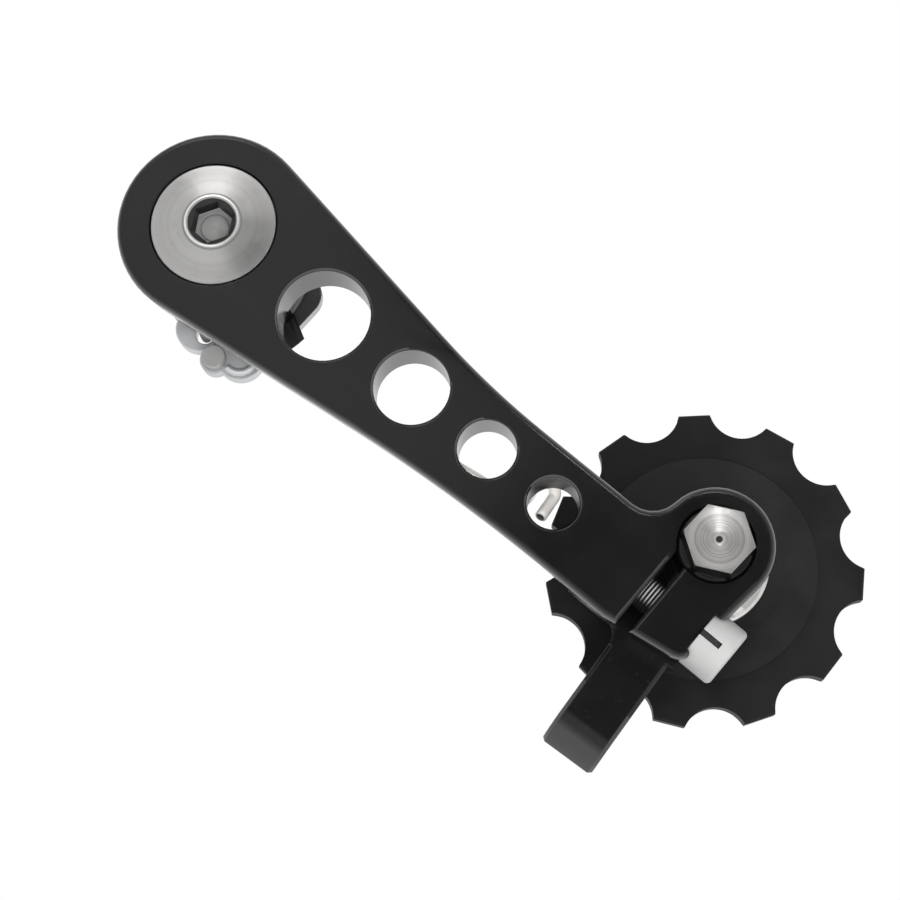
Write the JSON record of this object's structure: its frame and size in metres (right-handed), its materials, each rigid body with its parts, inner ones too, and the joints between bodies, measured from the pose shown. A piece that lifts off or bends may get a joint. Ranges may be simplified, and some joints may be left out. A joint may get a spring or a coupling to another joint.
{
  "type": "bicycle chain tensioner",
  "caption": "Sprung bicycle chain tensioner: a black arm with a row of round holes swings on a hanger bolt and carries a toothed pulley on a clamped axle, with a chain guide bar.",
  "frame": {"origin": "centre of the shoulder face on the pivot bolt that meets the frame's hanger", "axes": "+Z along the pivot bolt away from the bicycle, +X from the pivot along the row of holes towards the pulley"},
  "size_m": [0.113, 0.0539, 0.036],
  "materials": {
    "black_finish": "satin black finish on cast aluminium",
    "polished_steel": "polished and slightly worn",
    "turned_steel": "turned, with fine rings on the end",
    "bolt_steel": "bright plated, satin",
    "plain_steel": "satin",
    "zinc_plate": "bright zinc plated, faintly blue",
    "pin_steel": "dull grey",
    "spring_wire": "bright drawn wire",
    "spring_steel": "dark phosphated",
    "bearing_steel": "ground",
    "bronze": "plain bronze",
    "black_plastic": "moulded, satin"
  },
  "bodies": {
    "hanger_bolt": {"pivot_bolt": "polished_steel", "stop_plate": "zinc_plate", "stop_pin": "pin_steel", "pivot_clip": "spring_steel", "thrust_washer": "plain_steel"},
    "swing_arm": {"arm": "black_finish", "pivot_bushing": "bronze", "torsion_spring": "spring_wire", "pinch_bolt": "bolt_steel"},
    "axle": {"axle": "turned_steel", "axle_washer": "plain_steel", "axle_clip": "spring_steel", "inner_race": "bearing_steel"},
    "pulley": {"pulley": "black_plastic", "outer_race": "bearing_steel", "front_shield": "plain_steel", "rear_shield": "plain_steel"},
    "cage": {"ball_cage": "bronze", "ball_1": "bearing_steel", "ball_2": "bearing_steel", "ball_3": "bearing_steel", "ball_4": "bearing_steel", "ball_5": "bearing_steel", "ball_6": "bearing_steel", "ball_7": "bearing_steel", "ball_8": "bearing_steel", "ball_9": "bearing_steel"}
  },
  "joints": [
    {"name": "arm_swing", "type": "hinge", "parent": "hanger_bolt", "child": "swing_arm", "pos_m": [0, 0, 0], "axis": [0, 0, 1], "range_deg": [-30, 60], "stiffness_Nm_per_rad": 0.8, "deforming": ["torsion_spring"]},
    {"name": "axle_slide", "type": "slide", "parent": "swing_arm", "child": "axle", "axis": [0, 0, 1], "range_m": [-0.002, 0.004]},
    {"name": "pulley_spin", "type": "hinge", "parent": "axle", "child": "pulley", "pos_m": [0.0784, 0.0092, 0.0036], "axis": [0, 0, 1], "continuous": true},
    {"name": "cage_orbit", "type": "hinge", "parent": "axle", "child": "cage", "pos_m": [0.0784, 0.0092, 0.0036], "axis": [0, 0, 1], "continuous": true}
  ],
  "couplings": [
    {"joint": "cage_orbit", "follows": "pulley_spin", "ratio": 0.6}
  ]
}
